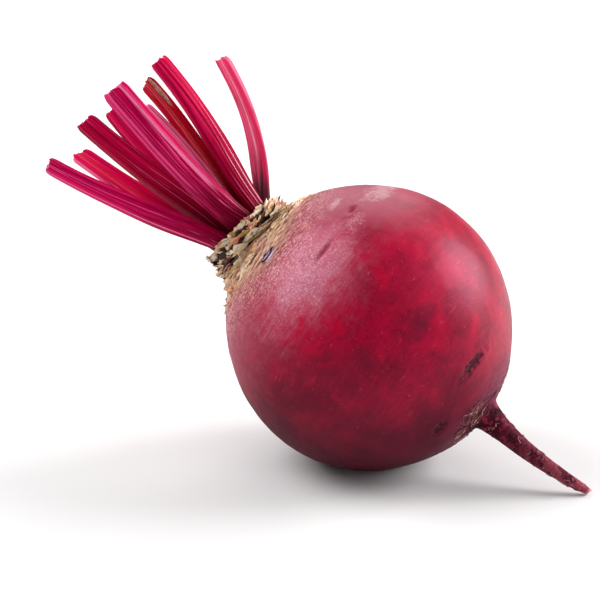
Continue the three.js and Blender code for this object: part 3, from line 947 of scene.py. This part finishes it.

# spine: the foot's distance from the crown's axis and angle around it, the bend and the tip in the crown's
# frame, and the angle that the ribbed face turns to
# section: width at foot, middle and tip, thickness, slant of the cut, how many ribs and how high
# tones: flesh, ridge and inner face, how strongly the ridges differ, how much painted shade darkens the lower
# half
# base: the colour of the foot and how far up it goes; the dark crimson ones are painted shade down among
# the stalks, and stalk_06's grey-brown one is its dry base
# lines: streaks along it, each with its angle round the stalk, where 90 is the middle of the ribbed face,
# its half width in degrees, where it starts and ends and its colour; the near-white ones are painted
# highlights
# scab: a dry patch, with its angle, its middle, its half width in degrees and its half length
USUAL_STALK = {"slot": "stalk_crimson", "base": ((64, 0, 20), 9), "scab": None}
STALKS = {
    "stalk_01": {
        "spine": (7.6, -110, (-10.8, -14.7, 33), (-13.3, -23.3, 61.2), -104),
        "section": ((6.5, 8, 5.8), 4.2, -0.2, 5, 0.06),
        "tones": ((216, 0, 84), (246, 40, 124), (180, 0, 56), 0.45, 0.85),
        "lines": [
            (72, 7, 4, TO_TIP, (246, 96, 160)), (126, 3, 26, TO_TIP, (236, 80, 146)),
            (-156, 14, 0, TO_TIP, (100, 0, 32)),
        ],
    },
    "stalk_02": {
        "spine": (7.6, -50, (5.8, -11.1, 24), (11.6, -12, 62.1), -58),
        "section": ((6.4, 7, 7), 4.2, 0.05, 8, 0.11),
        "tones": ((208, 0, 82), (252, 76, 146), (190, 0, 56), 0.55, 0.85), "slot": "stalk_rose",
        "base": ((104, 2, 32), 24),
        "lines": [
            (22, 9, 34, TO_TIP, (250, 110, 166)), (52, 4, 30, TO_TIP, (246, 100, 156)),
            (76, 26, -9, 34, (120, 0, 38)), (122, 9, 26, TO_TIP, (246, 140, 182)),
            # the two near-white lines near the foot are a painted double highlight
            (154, 3, 2, 40, (255, 214, 228)), (138, 2.5, 2, 28, (250, 180, 204)),
        ],
    },
    "stalk_03": {
        "spine": (3.9, -105, (-3.6, -7.7, 35), (-5.3, -6.3, 62.4), -90),
        "section": ((5.4, 8, 6.6), 3.2, 0.2, 5, 0.05),
        "tones": ((190, 0, 60), (228, 30, 100), (150, 0, 40), 0.3, 0.85),
        "lines": [
            (130, 3, 4, 42, (206, 90, 118)), (96, 3, 10, 50, (196, 70, 104)),
            (180, 18, 0, TO_TIP, (84, 4, 28)),
        ],
    },
    "stalk_04": {
        "spine": (7.6, -174, (-13.5, -2.3, 36.5), (-20.7, 4.8, 57.6), -195),
        "section": ((6.4, 7.8, 6.6), 4.2, -0.05, 6, 0.1),
        "tones": ((230, 0, 84), (246, 60, 124), (222, 0, 78), 0.6, 0.85),
        "lines": [
            (175, 14, 40, TO_TIP, (240, 120, 158)), (-165, 4, 12, 44, (246, 160, 178)),
            (-105, 18, 10, TO_TIP, (192, 0, 40)),
        ],
    },
    "stalk_05": {
        "spine": (7.6, -2, (14.8, 3.8, 31.8), (18.2, 5.5, 58.7), -21),
        "section": ((6, 7, 6.1), 4.2, 0, 6, 0.08),
        "tones": ((206, 0, 68), (240, 40, 106), (176, 0, 46), 0.5, 0.85),
        "lines": [
            # the pale thin lines from the foot up are painted highlights
            (109, 3, 2, 44, (255, 206, 220)), (79, 2.2, 2, 34, (250, 180, 200)),
            (47, 2, 2, 26, (240, 140, 170)), (-9, 10, 36, TO_TIP, (240, 90, 146)),
            (59, 14, 0, 34, (140, 0, 40)),
        ],
    },
    "stalk_06": {
        "spine": (8.6, 38, (18.8, 11.2, 17), (25.7, 17.6, 46.3), 51),
        "section": ((5.4, 7.6, 5.5), 4.2, -0.2, 4, 0.1),
        "tones": ((255, 84, 128), (255, 150, 184), (255, 92, 136), 0.7, 0.5), "slot": "stalk_pink",
        "base": ((76, 40, 46), 22),
        "lines": [
            (-71, 18, 22, TO_TIP, (252, 168, 192)), (-7, 16, 12, TO_TIP, (232, 30, 84)),
            (49, 16, 12, TO_TIP, (226, 60, 110)), (-45, 34, -9, 28, (60, 42, 48)),
            (-52, 26, -9, 22, (52, 44, 46)),
        ],
    },
    "stalk_07": {
        "spine": (3.4, 45, (7.2, 8.4, 39.1), (4.6, 16.1, 57.3), 63),
        "section": ((4.6, 6.2, 6.4), 3.2, -0.05, 5, 0.08),
        "tones": ((186, 0, 34), (232, 44, 78), (176, 0, 30), 0.4, 0.85), "slot": "stalk_rose",
        "scab": (-8, 47.5, 22, 5),
        "lines": [(-93, 8, 20, TO_TIP, (226, 60, 84)), (17, 16, 0, TO_TIP, (120, 0, 22))],
    },
    "stalk_08": {
        "spine": (3.3, -28, (7.8, 0.3, 30.8), (7, 1.8, 52.5), 13),
        "section": ((3.6, 3.4, 3.1), 2.6, 0.1, 4, 0.1),
        "tones": ((248, 96, 148), (255, 170, 204), (240, 60, 116), 0.6, 0.2),
        # the near-white line is a painted highlight
        "lines": [(67, 6, 2, 34, (255, 214, 226)), (87, 10, 0, TO_TIP, (200, 40, 96))],
    },
    "stalk_09": {
        "spine": (3.3, 140, (-8.3, 3.9, 36.5), (-9.6, 14.9, 59.5), 146),
        "section": ((4.6, 6, 3.8), 3, 0.3, 5, 0.1),
        "tones": ((182, 0, 56), (226, 26, 92), (178, 0, 64), 0.4, 0.85),
        "lines": [(-136, 4, 24, TO_TIP, (220, 60, 110))],
    },
    "stalk_10": {
        "spine": (7.6, 89, (1.5, 16, 26), (-3, 24, 43), 89),
        "section": ((5.8, 5.4, 4.8), 4.2, 0.3, 6, 0.1),
        "tones": ((190, 4, 70), (246, 80, 146), (170, 0, 50), 0.7, 0.85), "slot": "stalk_rose",
        "lines": [
            (-99, 5, 10, TO_TIP, (240, 90, 146)), (-39, 4, 4, 40, (246, 160, 186)),
            (91, 5, 4, TO_TIP, (246, 120, 166)),
        ],
    },
    "stalk_11": {
        "spine": (7.6, 134, (-10, 13, 24), (-16, 18.5, 40), 134),
        "section": ((5.8, 5.2, 4.6), 4.2, -0.4, 5, 0.08),
        "tones": ((176, 0, 58), (228, 40, 104), (166, 0, 46), 0.5, 0.85),
        "lines": [
            (-134, 5, 10, TO_TIP, (230, 70, 124)), (-74, 4, 4, 40, (246, 150, 176)),
            (46, 5, 4, TO_TIP, (240, 110, 156)),
        ],
    },
}


def stalk_section(angle, ribs, rib_height, warp):
    """The outline of a stalk at an angle: the ribbed outer face at +y and the grooved inner face at -y."""
    if angle >= 0:
        rib = (1 - cos(2 * ribs * (angle + warp * sin(angle)))) / 2
        return at_angle(angle, 1 + rib_height * rib).xy, rib
    depth = -sin(angle)
    return Vector((cos(angle), -depth * (1 - STALK_GROOVE * depth ** 2))), 0


def stalk_width(share, width):
    foot, middle, tip = width
    if share < 0.5:
        return blend(foot, middle, smooth_step(share, 0, 0.5))
    return blend(middle, tip, smooth_step(share, 0.5, 1))


def spine(share, points):
    """The place and the direction at a share of a stalk's bent line."""
    foot, risen, bend, tip = points
    rest = 1 - share
    place = rest ** 3 * foot + 3 * rest ** 2 * share * risen + 3 * rest * share ** 2 * bend + share ** 3 * tip
    share = min(share, 1)
    rest = 1 - share
    along = rest ** 2 * (risen - foot) + 2 * rest * share * (bend - risen) + share ** 2 * (tip - bend)
    return place, along.normalized()


def stalk_shape(stalk, seed):
    shape = rod(STALK_SIDES, STALK_RINGS)
    cut = [face for face in shape.faces if len(face.verts) > 4 and face.normal.z > 0.5]
    for _ in range(CUT_INSETS):
        bmesh.ops.inset_region(shape, faces=cut, thickness=0.9 / CUT_INSETS, use_even_offset=True)
    bmesh.ops.poke(shape, faces=cut)
    growth = shape.verts.layers.float_vector.new("growth")
    rib_layer = shape.verts.layers.float.new("rib")
    cut_layer = shape.verts.layers.float.new("cut")

    distance, around, bend, tip, end_facing = stalk["spine"]
    width, thickness, slant, ribs, rib_height = stalk["section"]
    foot = at_angle(radians(around), distance, STALK_FOOT_HEIGHT)
    points = [foot, foot + Vector((0, 0, STALK_RISE)), Vector(bend), Vector(tip)]
    end_speed = 3 * (points[3] - points[2]).length
    length = (points[3] - points[0]).length
    own = Vector((seed * 7.3, 0, 0))

    for vert in shape.verts:
        share, reach = vert.co.z, hypot(vert.co.x, vert.co.y)
        angle = atan2(vert.co.y, vert.co.x)
        turned = at_angle(angle)
        warp = RIB_WARP * noise(own + turned * 1.8 + Vector((0, 9, share * 1.5)))
        outline, rib = stalk_section(angle, ribs, rib_height, warp)
        outline *= reach * (1 + 0.035 * noise(own + turned * 4.5 + Vector((0, 0, share * 2.5))))
        outline *= 1 - 0.12 * max(0, (share - 0.98) / 0.02) ** 2
        across = outline.x * stalk_width(share, width) / 2
        outwards = outline.y * blend(thickness, thickness * width[2] / width[0], share) / 2
        tear = slant * across + STALK_TEAR * noise(own + turned * 1.7 * reach)
        on_cut = share > 0.9999
        if on_cut:
            tear += 0.4 * noise(own + Vector((across, outwards, 0)) * 1.8) - 0.35 * (1 - reach)
        place, along = spine(share * (1 + tear / end_speed), points)
        facing = radians(blend(around, end_facing, smooth_step(share, 0, STALK_TWIST_SHARE)))
        side = at_angle(facing).cross(along).normalized()
        meander = 0.35 * noise(own + Vector((0, 3, share * 3.2))) * smooth_step(share, 0, 0.3)
        vert[growth] = (turned.x * 3 * reach, turned.y * 3 * reach, share * length)
        vert[rib_layer] = rib
        vert[cut_layer] = 1 if on_cut and reach < CUT_RIM else 0
        vert.co = place + (across + meander) * side + outwards * along.cross(side)
    return shape


def stalk_finish(name, stalk, seed):
    skin = Finish(name + "_skin", {
        "Specular IOR Level": 0.06, "Specular Tint": colour(255, 120, 160),
        "Subsurface Weight": 0.06, "Subsurface Radius": (1.0, 0.1, 0.2), "Subsurface Scale": 0.002,
    })
    rib = skin.attribute("rib", "Fac")
    cut = skin.attribute("cut", "Fac")
    x, y, along = skin.axes(skin.attribute("growth"))
    outer = y.step(-0.6, 0.6)
    turn = y.math("ARCTAN2", x) * degrees(1)

    def drawn_out(shift, stretch, *settings):
        """Noise drawn out along the stalk, different on each."""
        return skin.noise(skin.vector(x + seed * shift, y, along * stretch), *settings)

    def off_by(angle):
        """How many degrees round the stalk a place is from an angle."""
        return (turn - angle).math("WRAP", 180, -180).math("ABSOLUTE")

    thread = drawn_out(11, 0.035, 0.34, 4, 0.65)
    band = drawn_out(11, 0.035, 1.5, 2)
    hairline = drawn_out(7, 0.015, 0.2, 1)
    glint = drawn_out(3, 0.02, 0.3, 1)
    blotch = drawn_out(5, 0.3, 2.2, 3)
    fleck = skin.noise(skin.vector(x * 2, y * 2, along * 0.6), 0.5, 3, 0.7)

    flesh, ridge, inner, striped, shade = stalk["tones"]
    flesh = colour(*flesh)
    dark = (0.26 * flesh[0], 0, 0.2 * flesh[2], 1)
    risen = along.step(10, 50)
    base = skin.layers(
        skin.mix(outer, inner, flesh),
        (band.step(0.48, 0.66) * 0.5 * striped, ridge),
        (rib * rib * rib * outer * striped * (0.15 + risen * 0.75), ridge),
        ((1 - rib) ** 4 * outer * (0.3 + 0.5 * striped), dark),
        # painted shade darkens the lower part of the stalk
        ((1 - risen) * shade, dark),
        (thread.step(0.58, 0.68) * (0.15 + risen * 0.3), ridge),
        (thread.step(0.46, 0.34) * 0.6, dark),
        (hairline.step(0.40, 0.32) * 0.7, dark),
        (hairline.step(0.60, 0.70) * (0.1 + risen * 0.4), ridge),
        (blotch.step(0.5, 0.75) * 0.3, dark),
        (glint.step(0.70, 0.74) * 0.5, (255, 140, 180)),
    )
    # streaks along the stalk; the near-white ones are painted highlights
    for angle, half_width, start, end, tone in stalk["lines"]:
        line = (off_by(angle) + (thread - 0.5) * half_width).step(half_width, half_width * 0.5)
        line = line * along.step(start, start + 8) * (along + (fleck - 0.5) * 8).step(end, end - 10)
        base = skin.mix(line * 0.85, base, tone)
    # the foot's colour: on all but stalk_06 painted shade down among the stalks, on stalk_06 its dry base
    foot_shade_and_tone, reach = stalk["base"]
    at_foot = (along + (band - 0.5) * 12 + (thread - 0.5) * 10).step(reach, reach * 0.6)
    base = skin.mix(at_foot * 0.85, base, foot_shade_and_tone)
    rough = 0.36 + (blotch - 0.5) * 0.15 + cut * 0.3 + (1 - outer) * 0.12
    if stalk["scab"]:
        angle, middle, half_width, half_length = stalk["scab"]
        off, off_along = off_by(angle) / half_width, (along - middle) / half_length
        scab = 1 - ((off * off + off_along * off_along) ** 0.5 + (fleck - 0.5) * 0.9).step(0.7, 1.1)
        base = skin.mix(scab * 0.9, base, skin.mix(fleck.step(0.42, 0.6), (90, 50, 44), (214, 166, 150)))
        rough = rough + scab * 0.4
    base = skin.mix(cut, base, skin.mix(fleck.step(0.45, 0.6), (206, 60, 104), (232, 150, 168)))
    return skin.cover(base, rough, (thread - 0.5) * 0.10 + (fleck - 0.5) * 0.015)


for number, (name, own) in enumerate(STALKS.items()):
    stalk = {**USUAL_STALK, **own}
    finish = stalk_finish(name, stalk, number)
    stub = piece(stalk_shape(stalk, number + 1), name + "_stub", finish, crown_lay_down)
    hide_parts(name)

# ------------------------------------------------------------
# Floor and light: a plain pale floor, a soft light from behind on the right, a weak one from above and
# behind, one from the left and a wide weak one from the front.

FLOOR_SIDE = 6
FLOOR_DROP = 0.0001
LIGHTS = {  # direction towards the light, distance, side, power in watts
    "right_softbox": ((0.70, 0.54, 0.46), 0.9, 0.6, 11.4),
    "top_softbox": ((-0.297, 0.70, 0.65), 0.9, 0.6, 2.6),
    "left_softbox": ((-0.66, -0.18, 0.73), 1.0, 0.7, 9.4),
    "front_softbox": ((0.75, -0.35, 0.56), 1.7, 1.7, 5.6),
}
SKY_STRENGTH = 0.18

floor_shape = bmesh.new()
bmesh.ops.create_grid(floor_shape, x_segments=1, y_segments=1, size=FLOOR_SIDE / 2)
bmesh.ops.translate(floor_shape, verts=floor_shape.verts, vec=(0, 0, -FLOOR_DROP))
floor_mesh = bpy.data.meshes.new("floor")
floor_shape.to_mesh(floor_mesh)
floor_shape.free()
paper = {"Base Color": colour(234, 234, 234), "Roughness": 0.9, "Specular IOR Level": 0.1}
floor_mesh.materials.append(Finish("floor_paper", paper).material)
floor = placed("floor", floor_mesh)

for name, (direction, distance, side, power) in LIGHTS.items():
    lamp = bpy.data.lights.new(name, "AREA")
    lamp.size = side
    lamp.energy = power
    towards = Vector(direction).normalized()
    aim = towards.to_track_quat("Z", "Y").to_matrix().to_4x4()
    placed(name, lamp).matrix_world = Matrix.Translation(GLOBE_CENTRE + towards * distance) @ aim

sky = bpy.data.worlds.new("studio")
sky.use_nodes = True
sky.node_tree.nodes["Background"].inputs["Color"].default_value = (1, 1, 1, 1)
sky.node_tree.nodes["Background"].inputs["Strength"].default_value = SKY_STRENGTH
bpy.context.scene.world = sky
bpy.context.scene.view_settings.view_transform = "Standard"
